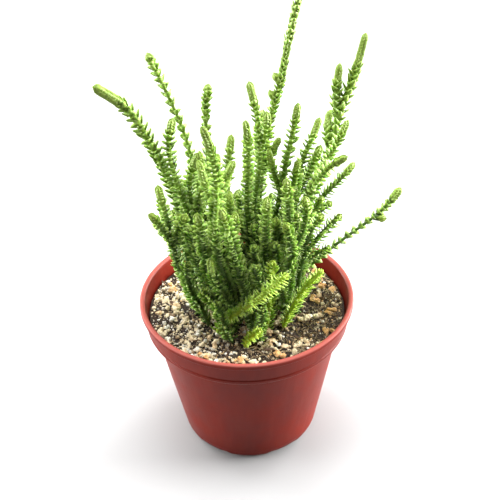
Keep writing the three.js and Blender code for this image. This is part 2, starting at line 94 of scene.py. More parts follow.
class Signal:
    """A socket of a material's nodes, on which sums are written as they are on numbers."""

    def __init__(self, tree, socket=None):
        self.tree = tree
        self.socket = socket

    def node(self, kind, settings, sockets, output=0):
        """A new node of a kind: its settings first, then the values or links of its sockets."""
        made = self.tree.nodes.new("ShaderNode" + kind)
        for name, value in settings.items():
            setattr(made, name, value)
        for name, value in sockets.items():
            feed(self.tree, made.inputs[name], value)
        return Signal(self.tree, made.outputs[output])

    def sum_of(self, operation, *values):
        """The result of a sum over these values, as a new signal."""
        return self.node("Math", {"operation": operation}, dict(enumerate(values)))

    def __add__(self, other):
        return self.sum_of("ADD", self, other)

    def __sub__(self, other):
        return self.sum_of("SUBTRACT", self, other)

    def __rsub__(self, other):
        return self.sum_of("SUBTRACT", other, self)

    def __mul__(self, other):
        return self.sum_of("MULTIPLY", self, other)

    __radd__ = __add__
    __rmul__ = __mul__

    def between(self, low, high):
        """From 0 at the low value to 1 at the high value, eased at both ends."""
        ease = {"interpolation_type": "SMOOTHSTEP"}
        return self.node("MapRange", ease, {"Value": self, "From Min": low, "From Max": high})

    def blend(self, first, second):
        """The first colour where this is 0 and the second where it is 1."""
        sockets = {0: self, 6: first, 7: second}
        return self.node("Mix", {"data_type": "RGBA"}, sockets, 2)

    def stretched(self, scale):
        """This vector with each of its parts scaled."""
        return self.node("VectorMath", {"operation": "MULTIPLY"}, {0: self, 1: scale})

    def noise(self, scale, detail=3, roughness=0.55):
        """Cloudy noise over this place, from 0 to 1."""
        sockets = {"Vector": self, "Scale": scale, "Detail": detail, "Roughness": roughness}
        return self.node("TexNoise", {}, sockets)

    def bump(self, depth, strength=1.0):
        """A normal that is raised by this height, in metres at its full depth."""
        return self.node("Bump", {}, {"Height": self, "Distance": depth, "Strength": strength})


def feed(tree, socket, value):
    """Links a signal to a socket, or sets a number, a colour or a vector on it."""
    if isinstance(value, Signal):
        tree.links.new(value.socket, socket)
    elif isinstance(value, tuple) and socket.type == "RGBA":
        socket.default_value = (*value, 1)
    else:
        socket.default_value = value


def new_finish(name, sockets_of):
    """A material whose shader takes the values and signals that a function of the place gives."""
    material = bpy.data.materials.new(name)
    material.use_nodes = True
    tree = material.node_tree
    shader = tree.nodes["Principled BSDF"]
    place = Signal(tree).node("TexCoord", {}, {}, "Object")
    for socket, value in sockets_of(place).items():
        feed(tree, shader.inputs[socket], value)
    return material


def new_piece(name, points, faces, finish, smooth=True, shades=None):
    """A mesh object from points in metres, faces of equal corner count, and shades per point."""
    mesh = bpy.data.meshes.new(name)
    mesh.vertices.add(len(points))
    mesh.vertices.foreach_set("co", np.asarray(points, np.float32).ravel())
    mesh.loops.add(faces.size)
    mesh.loops.foreach_set("vertex_index", np.asarray(faces, np.int32).ravel())
    mesh.polygons.add(len(faces))
    mesh.polygons.foreach_set("loop_start", np.arange(0, faces.size, faces.shape[1]))
    mesh.polygons.foreach_set("use_smooth", np.full(len(faces), smooth))
    mesh.update(calc_edges=True)
    for shade, values in (shades or {}).items():
        layer = mesh.attributes.new(shade, "FLOAT", "POINT")
        layer.data.foreach_set("value", np.asarray(values, np.float32))
    mesh.materials.append(finish)
    piece = bpy.data.objects.new(name, mesh)
    bpy.context.scene.collection.objects.link(piece)
    return piece


def settle(piece, slot, *nodes):
    """The piece rides on the one body and stands for its CAD nodes, which are hidden. The slot is not
    used.
    """
    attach(piece, "root")
    if nodes:
        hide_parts(*nodes)


def arc(centre, radius, first, last, count):
    """Points of a rounding, from one angle to another in degrees."""
    angles = np.radians(np.linspace(first, last, count))
    return [(centre[0] + radius * math.cos(a), centre[1] + radius * math.sin(a)) for a in angles]


def even_line(points, step):
    """A line of points again, with more points where they lie further apart than the step."""
    line = [points[0]]
    for start, end in zip(points[:-1], points[1:]):
        count = max(1, math.ceil(math.dist(start, end) / step))
        for i in range(1, count + 1):
            line.append(tuple(a + (b - a) * i / count for a, b in zip(start, end)))
    return line


def closed_rings(rings, sides):
    """Triangles over rings of points, closed at both ends onto two points that follow the rings."""
    side = np.arange(sides)
    after = (side + 1) % sides
    row = np.arange(rings - 1)[:, None] * sides
    last = (rings - 1) * sides
    end = np.full(sides, rings * sides)
    return np.concatenate([
        np.stack([row + side, row + after, row + sides + after], -1).reshape(-1, 3),
        np.stack([row + side, row + sides + after, row + sides + side], -1).reshape(-1, 3),
        np.stack([after, side, end], -1),
        np.stack([last + side, last + after, end + 1], -1),
    ])


def turned(profile, sides):
    """Points and faces of a round body from a line of radius and height pairs, axis to axis."""
    angles = np.arange(sides) * 2 * math.pi / sides
    radius, height = np.array(profile[1:-1]).T
    x = radius[:, None] * np.cos(angles)
    y = radius[:, None] * np.sin(angles)
    z = np.repeat(height[:, None], sides, 1)
    ends = [(0, 0, profile[0][1]), (0, 0, profile[-1][1])]
    points = np.vstack([np.stack([x, y, z], -1).reshape(-1, 3), ends])
    return points, closed_rings(len(radius), sides)


def body_radius(height):
    """Outer radius of the straight body at a height."""
    return BASE_RADIUS + (BODY_TOP_RADIUS - BASE_RADIUS) * height / BAND_FOOT


def pot_profile():
    """The pot's section, from the middle of its underside round to the middle of its floor."""
    lip_foot = POT_HEIGHT - LIP_HEIGHT
    shelf = BAND_FOOT + WALL
    groove = BAND_FOOT + GROOVE_ABOVE_FOOT
    groove_radius = BAND_FOOT_RADIUS - GROOVE_DEPTH
    lip_inside = BAND_TOP_RADIUS - WALL + LIP_INNER_EDGE
    corner_top = FLOOR_TOP + FLOOR_CORNER_HEIGHT
    return [
        (0, 0),
        (BASE_RADIUS - 2 * BASE_CORNER, 0),
        *arc((BASE_RADIUS - BASE_CORNER + 0.3 * MM, BASE_CORNER), BASE_CORNER, -90, -9, 9),
        (BODY_TOP_RADIUS - 0.1 * MM, BAND_FOOT - BAND_FILLET),
        *arc((BODY_TOP_RADIUS + BAND_FILLET, BAND_FOOT - BAND_FILLET), BAND_FILLET, 180, 90, 4),
        *arc((BAND_FOOT_RADIUS - BAND_CORNER, BAND_FOOT + BAND_CORNER), BAND_CORNER, -90, 0, 9),
        (BAND_FOOT_RADIUS, groove - 0.6 * MM),
        (groove_radius, groove - 0.2 * MM),
        (groove_radius, groove + 0.2 * MM),
        (BAND_FOOT_RADIUS + 0.1 * MM, groove + 0.6 * MM),
        (BAND_TOP_RADIUS, lip_foot - 0.4 * MM),
        *arc((RIM_RADIUS - LIP_UNDER_EDGE, lip_foot + 0.6 * MM), LIP_UNDER_EDGE, -70, 0, 5),
        *arc((RIM_RADIUS - LIP_OUTER_EDGE, POT_HEIGHT - LIP_OUTER_EDGE), LIP_OUTER_EDGE, 0, 90, 6),
        *arc((lip_inside, POT_HEIGHT - LIP_INNER_EDGE), LIP_INNER_EDGE, 90, 180, 7),
        (BAND_FOOT_RADIUS - WALL, shelf),
        (BODY_TOP_RADIUS - WALL, shelf),
        (body_radius(corner_top) - WALL, corner_top),
        (body_radius(FLOOR_TOP) - WALL - FLOOR_CORNER_DEPTH, FLOOR_TOP),
        (0, FLOOR_TOP),
    ]


def press_channels(points):
    """Lifts the underside between the feet, with soft edges and a higher mouth at the wall."""
    x, y, z = points.T
    angle = np.arctan2(y, x) - FIRST_CHANNEL
    pitch = 2 * math.pi / CHANNEL_COUNT
    off_middle = np.abs((angle + pitch / 2) % pitch - pitch / 2)
    radius = np.hypot(x, y)
    across = np.clip((CHANNEL_ANGLE / 2 - off_middle) * radius / CHANNEL_EDGE + 0.5, 0, 1)
    outward = np.clip((radius - CHANNEL_START) / CHANNEL_EDGE + 0.5, 0, 1)
    mouth = np.clip((radius - BASE_RADIUS + BASE_CORNER) / CHANNEL_MOUTH_DEPTH, 0, 1)
    lift = np.clip(CHANNEL_HEIGHT + CHANNEL_MOUTH_RISE * mouth - z, 0, None)
    points[:, 2] += lift * across * outward
    return points


def drill_drain_holes(pot):
    """Cuts the round hole in each channel's roof, then drops the drills."""
    drills = []
    for i in range(CHANNEL_COUNT):
        angle = FIRST_CHANNEL + 2 * math.pi * i / CHANNEL_COUNT
        spot = (DRAIN_HOLE_PLACE * math.cos(angle), DRAIN_HOLE_PLACE * math.sin(angle), FLOOR_TOP)
        bpy.ops.mesh.primitive_cylinder_add(
            vertices=DRILL_SIDES, radius=DRAIN_HOLE_RADIUS, depth=3 * FLOOR_TOP, location=spot
        )
        drills.append(bpy.context.object)
        cut = pot.modifiers.new("drain hole", "BOOLEAN")
        cut.operation = "DIFFERENCE"
        cut.solver = "MANIFOLD"
        cut.object = bpy.context.object
    bpy.context.view_layer.update()
    whole = pot.evaluated_get(bpy.context.evaluated_depsgraph_get())
    drilled = bpy.data.meshes.new_from_object(whole)
    pot.modifiers.clear()
    pot.data = drilled
    for drill in drills:
        bpy.data.objects.remove(drill)


def pot_plastic(place):
    """Half-matt plastic: cloudy pigment, faint upright draw marks, fine scuffs, and a painted highlight
    along the top of the lip.
    """
    cloud = place.noise(38, 4).between(0.35, 0.70)
    marks = place.stretched((260, 260, 9)).noise(1, 2).between(0.35, 0.75)
    scuffs = place.noise(900, 2).between(0.60, 0.78)
    height = place.node("SeparateXYZ", {}, {0: place}, "Z")
    # Painted highlight: the top of the lip, where light catches it, goes pale pink.
    lip = height.between(POT_HEIGHT - 0.9 * MM, POT_HEIGHT - 0.1 * MM)
    colour = cloud.blend(POT_RED_DEEP, POT_RED)
    colour = (marks * 0.10).blend(colour, POT_RED_PALE)
    colour = (scuffs * 0.10).blend(colour, POT_RED_PALE)
    return {
        "Base Color": (0.8 * lip).blend(colour, LIP_HIGHLIGHT),
        "Roughness": 0.40 + 0.10 * cloud + 0.12 * scuffs,
        "Normal": (0.7 * place.noise(1400, 2) + marks).bump(0.05 * MM, 0.5),
        "Specular IOR Level": 0.12,
        "Subsurface Weight": 0.25,
        "Subsurface Radius": (1.0, 0.30, 0.20),
        "Subsurface Scale": 1.5 * MM,
    }


pot_points, pot_faces = turned(even_line(pot_profile(), POT_STEP), POT_SIDES)
pot_finish = new_finish("terracotta plastic", pot_plastic)
pot = new_piece("nursery_pot", press_channels(pot_points), pot_faces, pot_finish)
drill_drain_holes(pot)
pot.data.set_sharp_from_angle(angle=SHARP_ANGLE)
settle(pot, "pot_plastic", "pot")

# The bed is the potting mix as one body: dark peat pressed into the pot to a little below the
# lip, with an uneven, crumbly top on which the loose grit lies.

SOIL_TOP = 73 * MM
SOIL_GAP = 0.3 * MM
SOIL_RADIUS = BAND_FOOT_RADIUS - WALL - SOIL_GAP
MOUND_HEIGHT, MOUND_SIZE = 0.7 * MM, 14 * MM
CLOD_HEIGHT, CLOD_SIZE = 0.5 * MM, 3 * MM
CRUMBLE_HEIGHT, CRUMBLE_SIZE = 0.35 * MM, 1.1 * MM
ROUGH_CELLS = 64
BED_SIDES = 216
BED_STEP = 0.8 * MM
PEAT_BLACK = (0.012, 0.008, 0.006)
PEAT_BROWN = (0.090, 0.056, 0.034)


def rough(x, y, size, seed):
    """Smooth noise over the surface with features of a size, from -1 to 1."""
    cells = ROUGH_CELLS
    grid = np.random.default_rng(seed).random((cells, cells))
    u, v = np.asarray(x) / size + 100, np.asarray(y) / size + 100
    i, j = np.floor(u).astype(int), np.floor(v).astype(int)
    a, b = u - i, v - j
    a, b = a * a * (3 - 2 * a), b * b * (3 - 2 * b)
    i, j, next_i, next_j = i % cells, j % cells, (i + 1) % cells, (j + 1) % cells
    low = grid[i, j] * (1 - a) + grid[next_i, j] * a
    high = grid[i, next_j] * (1 - a) + grid[next_i, next_j] * a
    return 2 * (low * (1 - b) + high * b) - 1


def soil_height(x, y):
    """Height of the bed: soft mounds, then clods."""
    mounds = MOUND_HEIGHT * rough(x, y, MOUND_SIZE, 3)
    return SOIL_TOP + mounds + CLOD_HEIGHT * rough(x, y, CLOD_SIZE, 5)


def bed_profile():
    """The bed's section, from the middle of its underside round to the middle of its top."""
    bottom = FLOOR_TOP + SOIL_GAP
    shelf = BAND_FOOT + WALL + SOIL_GAP
    inner = WALL + SOIL_GAP
    return [
        (0, bottom),
        (body_radius(bottom) - inner - 2.6 * MM, bottom),
        (body_radius(bottom + 3 * MM) - inner, bottom + 3 * MM),
        (BODY_TOP_RADIUS - inner, shelf),
        (SOIL_RADIUS, shelf),
        *even_line([(SOIL_RADIUS, SOIL_TOP), (0, SOIL_TOP)], BED_STEP),
    ]


def peat(place):
    """Damp peat: nearly black, with brown crumbs."""
    crumbs = place.noise(1300, 4, 0.7)
    return {
        "Base Color": crumbs.between(0.40, 0.68).blend(PEAT_BLACK, PEAT_BROWN),
        "Roughness": 0.95,
        "Normal": crumbs.bump(0.6 * MM),
    }


bed_points, bed_faces = turned(bed_profile(), BED_SIDES)
on_top = bed_points[:, 2] > SOIL_TOP - 0.1 * MM
x, y, _ = bed_points[on_top].T
crumble = CRUMBLE_HEIGHT * rough(x, y, CRUMBLE_SIZE, 7)
bed_points[on_top, 2] = soil_height(x, y) + crumble
bed = new_piece("peat_bed", bed_points, bed_faces, new_finish("peat", peat))
settle(bed, "potting_mix", "soil")

# The stems grow from the bed, each a thin core that small fleshy scale leaves cover in pairs,
# every pair a quarter turn from the last. Low down the leaves are narrow and stand out, higher up
# they are broader and fewer, and at a high tip they close up into a smooth round club.

STEM_FOOT = 63
STEM_BENDS_FROM = 75.3
LEAVES_FROM = 74.5
LEAF_REACH = 3.7
YOUNG_LEAF_REACH = 2.0
YOUNG_FROM = 155
YOUNG_AT = 198
BROAD_FROM = 105
BROAD_AT = 155
ROUTE_STEP = 4
ROUNDING_PASSES = 5
CLEARING_ROUNDS = 90
SHIFT_SMOOTHING = 2
STEMS_APART = 5.6
HELD_POINTS = 4
FREE_OF_PARENT = 3
PUSH = 0.35
LEAF_TURN = 0.7
BRANCH_TURN = 0.4

# Each stem in millimetres: its place in the soil, then points up to its tip. A branch starts on
# its stem at a height. Reach says how far leaves stand out and club how long the smooth tip is,
# where they aren't as usual, and new is how much of a stem is this season's bright growth. Most
# stems are densely leafy, on some the leaves are further apart, and a few are chains of rings.
STEMS = [
    # Small bright shoot at the front
    {"root": (-1, -29), "new": 1.0, "points": [(0, -30, 79), (6, -33, 87)]},
    # Low stem that leans across the front to the right
    {
        "root": (-14, -20),
        "reach": 4.3,
        "new": 0.7,
        "points": [(-9, -24, 85), (0, -28, 96), (10, -31, 107), (18, -33, 117)],
    },
    # Foreground stem that curls up and to the left
    {
        "root": (-6, -19),
        "club": 9,
        "points": [(-8, -22, 92), (-11, -25, 110), (-13, -28, 128), (-12, -31, 146),
                   (-10, -35, 163), (-11, -38, 180), (-14, -40, 190)],
        "branches": [
            {"from": 92, "points": [(-14, -28, 110), (-15, -31, 125)]},
            {"from": 146, "points": [(-15, -29, 160), (-17, -28, 170)]},
        ],
    },
    # Pale stem whose round tip leans at the viewer
    {"root": (2, -21), "points": [(0, -24, 95), (-4, -28, 120), (-7, -34, 143), (-9, -39, 154)]},
    {"root": (9, -20), "new": 0.6, "points": [(10, -22, 90), (11, -24, 106), (12, -26, 119)]},
    {
        "root": (17.5, -18),
        "new": 0.9,
        "points": [(18, -18, 79), (23, -18, 89), (28, -18, 100), (35, -18, 107)],
    },
    # Left stem with three short branches
    {
        "root": (-19, -13),
        "points": [(-25, -14, 91), (-31, -17, 113), (-33, -19, 134), (-34, -20, 144),
                   (-35, -20, 155)],
        "branches": [
            {"from": 84, "points": [(-27, -19, 100), (-26, -22, 117)]},
            {"from": 120, "points": [(-28, -20, 133), (-24, -24, 143)]},
            {"from": 124, "points": [(-35, -23, 138), (-39, -26, 145)]},
        ],
    },
    {
        "root": (-11, -12),
        "points": [(-14, -17, 95), (-18, -22, 115), (-18, -26, 131), (-19, -30, 147)],
        "branches": [{"from": 84, "points": [(-17, -22, 97), (-20, -26, 104)]}],
    },
    {"root": (-3, -12), "points": [(-5, -13, 100), (-8, -13, 125), (-8, -13, 138), (-6, -13, 147)]},
    {"root": (4, -13), "points": [(1, -17, 95), (-3, -21, 115), (-6, -24, 133), (-3, -26, 144)]},
    {"root": (10, -13), "points": [(9, -15, 95), (9, -18, 115), (9, -20, 135), (10, -22, 149)]},
    {
        "root": (18, -10),
        "points": [(19, -12, 95), (20, -14, 120), (19, -16, 141), (18, -20, 156)],
        "branches": [
            {"from": 100, "points": [(20, -20, 116), (20, -25, 130), (17, -27, 139)]},
            {"from": 112, "points": [(26, -17, 128), (28, -18, 138), (26, -18, 146)]},
        ],
    },
    # Long stem that arches out to the left
    {
        "root": (-17, -4),
        "habit": "open",
        "points": [(-20, -3, 92), (-24, -2, 112), (-28, -1, 134), (-31, -4, 147), (-35, -9, 165),
                   (-38, -12, 173), (-43, -17, 189), (-49, -20, 194), (-54, -24, 200)],
    },
    {
        "root": (-9, -4),
        "points": [(-15, -5, 105), (-22, -6, 125), (-27, -7, 142), (-29, -9, 156), (-31, -10, 169),
                   (-27, -10, 180)],
    },
    {
        "root": (-1, -5),
        "points": [(-4, -8, 100), (-8, -13, 125), (-9, -16, 144), (-7, -20, 156), (-3, -22, 166)],
        "branches": [{"from": 122, "points": [(-7, -6, 140), (-5, -2, 158), (-4, 0, 167)]}],
    },
    {"root": (7, -5), "points": [(4, -6, 105), (1, -6, 135), (3, -7, 156), (3, -7, 168), (2, -8, 177)]},
    {
        "root": (15, -3),
        "points": [(20, -3, 105), (26, -3, 125), (31, -2, 140), (36, 0, 151), (42, 2, 161),
                   (46, 4, 170)],
        "branches": [{"from": 136, "points": [(33, -7, 150), (39, -10, 158), (44, -12, 161)]}],
    },
    {
        "root": (24, -8),
        "points": [(25, -8, 88), (25, -8, 105), (30, -7, 113), (37, -6, 121), (44, -6, 129)],
        "branches": [{"from": 107, "points": [(28, -10, 123), (35, -12, 133)]}],
    },
    {
        "root": (-17, 5),
        "points": [(-20, 2, 100), (-23, -2, 125), (-24, -6, 149), (-18, -8, 163)],
        "branches": [{"from": 126, "points": [(-20, -8, 140), (-16, -12, 150)]}],
    },
    # Chain-like stem, straight up
    {
        "root": (-9, 4),
        "habit": "chain",
        "reach": 2.9,
        "points": [(-12, 5, 110), (-15, 6, 140), (-15, 6, 167), (-15, 7, 175), (-13, 10, 186)],
    },
    {
        "root": (-1, 3),
        "points": [(2, 3, 110), (6, 2, 138), (9, 3, 160), (8, 4, 172), (6, 5, 179), (4, 6, 188)],
        "branches": [{"from": 156, "points": [(12, 1, 168), (11, 0, 177)]}],
    },
    {
        "root": (7, 3),
        "points": [(12, 5, 110), (17, 7, 132), (20, 8, 152), (23, 9, 162), (25, 10, 176)],
        "branches": [{"from": 132, "points": [(15, 9, 146), (15, 10, 155)]}],
    },
    {
        "root": (16, 5),
        "points": [(20, 7, 105), (25, 9, 128), (28, 10, 147), (33, 12, 159), (35, 14, 167)],
        "branches": [{"from": 126, "points": [(24, 5, 140), (25, 4, 152)]}],
    },
    {"root": (25, 1), "points": [(25, 3, 86), (27, 2, 98), (32, 0, 104), (41, 0, 107)]},
    {
        "root": (24, 7),
        "points": [(27, 8, 100), (31, 9, 118), (37, 10, 130), (45, 12, 136), (52, 14, 144)],
        "branches": [{"from": 112, "points": [(34, 5, 124), (41, 5, 129)]}],
    },
    # Chain-like stem that leans out to the upper left
    {
        "root": (-13, 11),
        "habit": "chain",
        "reach": 2.9,
        "points": [(-17, 10, 110), (-21, 9, 138), (-23, 9, 155), (-25, 11, 165), (-29, 12, 176),
                   (-33, 14, 186), (-38, 16, 198)],
    },
    # Tallest stem, slender at the top, with two side shoots and two buds
    {
        "root": (3, 11),
        "points": [(6, 12, 110), (9, 13, 135), (12, 13, 155), (13, 15, 166), (16, 16, 175),
                   (19, 18, 183), (20, 20, 194), (23, 21, 206), (26, 22, 219), (29, 23, 227)],
        "branches": [
            {"from": 144, "points": [(8, 11, 161), (10, 11, 173)]},
            {"from": 140, "points": [(14, 10, 152), (19, 10, 159)]},
            {"from": 172, "points": [(13, 18, 179)]},
            {"from": 180, "points": [(15, 20, 186)]},
        ],
    },
    # Tall stem that leans out to the upper right
    {
        "root": (11, 11),
        "habit": "open",
        "points": [(18, 13, 105), (27, 14, 125), (37, 15, 146), (42, 18, 159), (44, 20, 169),
                   (49, 22, 178), (52, 24, 188), (55, 26, 200)],
        "branches": [
            {"from": 165, "points": [(42, 21, 177), (44, 23, 188)]},
            {"from": 152, "points": [(37, 20, 160), (41, 24, 166)]},
        ],
    },
    # Stem that leans out over the lip on the right
    {
        "root": (20, 12),
        "habit": "chain",
        "club": 6,
        "reach": 2.9,
        "points": [(29, 12, 84), (38, 12, 93), (47, 12, 102), (59, 12, 112), (67, 12, 119),
                   (74, 12, 131)],
        "branches": [{"from": 115, "points": [(68, 9, 116)]}],
    },
    {"root": (12, 18), "points": [(18, 17, 100), (26, 14, 125), (32, 8, 147), (35, 7, 157)]},
    # Stems at the back of the clump
    {"root": (-5, 11), "points": [(-7, 12, 90), (-10, 13, 110), (-12, 15, 135), (-11, 16, 150)]},
    {"root": (-5, 18), "points": [(-9, 21, 95), (-14, 24, 115), (-18, 26, 133), (-20, 27, 146)]},
    {"root": (4, 19), "points": [(5, 22, 98), (5, 25, 118), (4, 27, 136)]},
    {"root": (-20, 13), "points": [(-23, 16, 92), (-26, 19, 108), (-30, 22, 122)]},
    {"root": (-12, 18), "points": [(-16, 21, 95), (-22, 25, 113), (-27, 27, 130)]},
    {"root": (20, 18), "points": [(25, 20, 95), (30, 22, 113), (34, 24, 130)]},
    # Shorter stems that fill the clump
    {"root": (-24, -5), "points": [(-28, -6, 92), (-31, -8, 108), (-32, -9, 121)]},
    {"root": (-24, 4), "points": [(-27, 5, 95), (-30, 5, 113), (-33, 4, 128)]},
    {"root": (-8, -26), "points": [(-11, -27, 88), (-14, -30, 101)]},
    {"root": (5, -27), "points": [(5, -28, 86), (6, -30, 98)]},
    {"root": (13, -8), "points": [(15, -10, 98), (15, -13, 118), (14, -15, 134)]},
    {"root": (-6, -8), "points": [(-10, -9, 98), (-15, -12, 118), (-20, -14, 134)]},
    {"root": (20, -2), "points": [(23, -2, 98), (29, 0, 118), (36, 2, 134)]},
    {"root": (-14, -8.3), "points": [(-19, -9, 98), (-25, -11, 118), (-29, -13, 137)]},
]


def averaged(row, held, passes):
    """Each inner point halfway to the middle of its neighbours. The first held points stay."""
    for _ in range(passes):
        inner = (row[held - 1:-2] + row[held + 1:]) / 2
        row = row.copy()
        row[held:-1] += (inner - row[held:-1]) / 2
    return row


def stepped_route(points, held):
    """Points at equal steps along a line of points, with its corners rounded."""
    points = np.array(points, float)
    lengths = np.append(0, np.cumsum(np.linalg.norm(np.diff(points, axis=0), axis=1)))
    count = max(2, math.floor(lengths[-1] / ROUTE_STEP + 0.5))
    along = np.linspace(0, lengths[-1], count + 1)
    route = np.stack([np.interp(along, lengths, column) for column in points.T], -1)
    return averaged(route, held, ROUNDING_PASSES)


def all_routes():
    """All stems and branches as routes, a branch after its stem."""
    routes = []
    for plant, stem in enumerate(STEMS):
        x, y = stem["root"]
        leaves = {
            "reach": stem.get("reach", LEAF_REACH),
            "habit": stem.get("habit", "dense"),
            "new": stem.get("new", 0.0),
            "club": stem.get("club"),
            "fresh": 1.0,
        }
        line = [(x, y, STEM_FOOT), (x, y, STEM_BENDS_FROM), *stem["points"]]
        main = {"plant": plant, "held": HELD_POINTS, "stem": None, **leaves}
        main["base"] = stepped_route(line, HELD_POINTS)
        routes.append(main)
        for branch in stem.get("branches", []):
            joint = int(np.argmin(np.abs(main["base"][:, 2] - branch["from"])))
            twig = {"plant": plant, "held": 1, "stem": main, "joint": joint, **leaves}
            twig["base"] = stepped_route([main["base"][joint], *branch["points"]], 1)
            routes.append(twig)
    for route in routes:
        route["shift"] = np.zeros_like(route["base"])
    return routes


def near_pairs(routes):
    """Pairs of points of different routes that can come close, and how far apart they stay."""
    base = np.concatenate([route["base"] for route in routes])
    owner = np.concatenate([np.full(len(r["base"]), i) for i, r in enumerate(routes)])
    plant = np.concatenate([np.full(len(r["base"]), r["plant"]) for r in routes])
    free = np.concatenate([
        np.arange(len(r["base"])) >= (FREE_OF_PARENT if r["stem"] else 0) for r in routes
    ])
    first, second = [], []
    for i in range(len(base) - 1):
        away = np.linalg.norm(base[i + 1:] - base[i], axis=1)
        near = np.nonzero((away < 4 * STEMS_APART) & (owner[i + 1:] != owner[i]))[0] + i + 1
        first.append(np.full(len(near), i))
        second.append(near)
    first, second = np.concatenate(first), np.concatenate(second)
    own = plant[first] == plant[second]
    apart = np.where(own, np.where(free[first] & free[second], 0.8, 0.0), 1.0) * STEMS_APART
    return first, second, apart


def bend_clear(routes):
    """Bends crowded stems clear of each other, little by little, with their feet in place."""
    first, second, apart = near_pairs(routes)
    ends = np.append(0, np.cumsum([len(route["base"]) for route in routes]))
    base = np.concatenate([route["base"] for route in routes])
    for _ in range(CLEARING_ROUNDS):
        shift = np.concatenate([route["shift"] for route in routes])
        placed = base + shift
        gap = placed[first] - placed[second]
        away = np.linalg.norm(gap, axis=1)
        close = (away < apart) & (away >= 0.01)
        push = gap[close] * (PUSH * (apart[close] - away[close]) / away[close])[:, None]
        np.add.at(shift, first[close], push)
        np.add.at(shift, second[close], -push)
        for route, start, end in zip(routes, ends, ends[1:]):
            stem = route["stem"]
            row = shift[start:end].copy()
            row[:route["held"]] = stem["shift"][route["joint"]] if stem else 0
            route["shift"] = averaged(row, route["held"], SHIFT_SMOOTHING)
    for route in routes:
        route["points"] = route["base"] + route["shift"]


def smooth_curve(points, parts=6):
    """A rounder line through the points, with its length so far at each of its points."""
    before = np.vstack([2 * points[0] - points[1], points[:-1]])
    after = np.vstack([points[1:], 2 * points[-1] - points[-2]])
    slope = (after - before) / 2
    t = np.arange(parts)[None, :, None] / parts
    a, b = points[:-1, None], points[1:, None]
    m, n = slope[:-1, None], slope[1:, None]
    line = (2 * t**3 - 3 * t**2 + 1) * a + (t**3 - 2 * t**2 + t) * m
    line = line + (3 * t**2 - 2 * t**3) * b + (t**3 - t**2) * n
    line = np.vstack([line.reshape(-1, 3), points[-1]])
    length = np.append(0, np.cumsum(np.linalg.norm(np.diff(line, axis=0), axis=1)))
    return line, length


def frames_along(line, turn):
    """At each point of a line, its direction and two directions across it that never twist."""
    along = np.gradient(line, axis=0)
    along /= np.linalg.norm(along, axis=1)[:, None]
    side = np.array([math.cos(turn), math.sin(turn), 0.0])
    sides = []
    for direction in along:
        side = side - direction * (side @ direction)
        side /= np.linalg.norm(side)
        sides.append(side)
    sides = np.array(sides)
    return along, sides, np.cross(along, sides)


def at_places(values, length, places):
    """Values along a line at given lengths."""
    return np.stack([np.interp(places, length, column) for column in values.T], -1)


def eased(value, low, high):
    """From 0 at the low value to 1 at the high value, eased at both ends."""
    share = np.clip((np.asarray(value, float) - low) / (high - low), 0, 1)
    return share * share * (3 - 2 * share)


SHOOT_SEED = 5
SHOOT_COUNT = 48
SHOOT_TRIES = 1500
SHOOT_LENGTH = (13, 25)
SHOOT_REACH = 3.3
SHOOT_FRESH = 0.3
SHOOT_GAP = 3.9
SHOOT_FREE_FROM = 2
SHOOT_LOW, SHOOT_HIGH = 76, 122
SHOOT_LEAN = 0.22
SHOOT_OFFSET = 5.2
CLUMP_RADIUS = 21
CLUMP_SPREAD = 0.26


def shoot_points(stem, joint, side, length):
    """A short side shoot: out from its stem, then up beside it and leaning a little away."""
    start = stem["points"][joint]
    along = stem["points"][joint + 1] - start
    along = along / np.linalg.norm(along) * 0.7 + np.array([0, 0, 0.3])
    outward = np.array([math.cos(side), math.sin(side), 0.0])
    steps = np.linspace(0, length, max(4, round(length / ROUTE_STEP)) + 1)[:, None]
    away = SHOOT_OFFSET * (1 - np.exp(-steps / 4)) + SHOOT_LEAN * steps
    return start + steps * along + away * outward


def add_side_shoots(routes):
    """Short shoots where the clump has room for them, which make it dense."""
    dice = np.random.default_rng(SHOOT_SEED)
    stems = [r for r in routes if r["stem"] is None and r["habit"] == "dense"]
    taken = np.concatenate([smooth_curve(route["points"], 3)[0] for route in routes])
    added = 0
    for _ in range(SHOOT_TRIES):
        stem = stems[dice.integers(len(stems))]
        heights = stem["points"][:, 2]
        joint = int(np.argmin(np.abs(heights - dice.uniform(SHOOT_LOW, SHOOT_HIGH))))
        side, length = dice.uniform(0, 2 * math.pi), dice.uniform(*SHOOT_LENGTH)
        if joint > len(heights) - 4 or added == SHOOT_COUNT:
            continue
        points = shoot_points(stem, joint, side, length)
        free = points[SHOOT_FREE_FROM:]
        clump = CLUMP_RADIUS + CLUMP_SPREAD * (points[:, 2] - SHOOT_LOW)
        if np.any(np.hypot(points[:, 0], points[:, 1]) > clump):
            continue
        if np.linalg.norm(free[:, None] - taken[None], axis=2).min() < SHOOT_GAP:
            continue
        routes.append({"plant": stem["plant"], "stem": stem, "habit": "dense", "club": None,
                       "reach": SHOOT_REACH, "new": 0.0, "fresh": SHOOT_FRESH, "points": points})
        taken = np.concatenate([taken, smooth_curve(points, 3)[0]])
        added += 1


# A leaf's rings from base to tip lie at these shares of its length, with these shares of its full
# thickness. Its section has two thin edges, a flat upper side and a keeled back.
LEAF_ALONG = np.array([0.0, 0.30, 0.60, 0.85])
LEAF_THICK = np.array([1.00, 1.00, 0.80, 0.50])
LEAF_SECTION = np.array([(1, 0.1), (0, 0.5), (-1, 0.1), (0, -0.9)])
LEAF_EDGE = np.array([1, 0.2, 1, 0.1])
LEAF_RINGS, LEAF_SIDES = len(LEAF_ALONG), len(LEAF_SECTION)
OVAL = (0.75, 1.00, 0.88, 0.50)
TOOTH = (1.00, 0.90, 0.65, 0.32)
FUNNEL = (0.42, 0.74, 1.00, 0.88)
BRANCH_LEAVES_FROM = 1.6
LEAF_SINK = 0.25
GROWN_BELOW = 5
FRESH_BELOW = 16
CORE_SIDES = 8
CLUB_FILL = 0.74
CLUB_HOLLOW = 0.38
BUD_BELOW_END = 0.7
